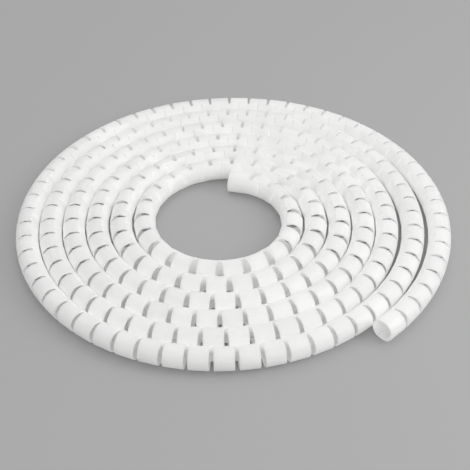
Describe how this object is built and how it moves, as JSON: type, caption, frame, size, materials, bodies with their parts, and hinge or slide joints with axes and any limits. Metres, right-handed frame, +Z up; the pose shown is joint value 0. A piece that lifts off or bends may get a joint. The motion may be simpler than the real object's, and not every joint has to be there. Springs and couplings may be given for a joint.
{
  "type": "spiral cable wrap",
  "caption": "Flat one-layer coil of a split plastic tube with staggered cross slots, which is wound on round a bundle of cables to hold it together.",
  "frame": {"origin": "under the middle of the coil, on the floor that it lies on", "axes": "+Z up, across the flat coil; -Y towards the viewer of the picture; +X to the viewer's right, where the outer end is"},
  "size_m": [0.3858, 0.371, 0.02],
  "materials": {
    "wrap_plastic": "satin white, slightly see-through"
  },
  "bodies": {
    "root": {"spiral_wrap": "wrap_plastic"}
  },
  "joints": []
}
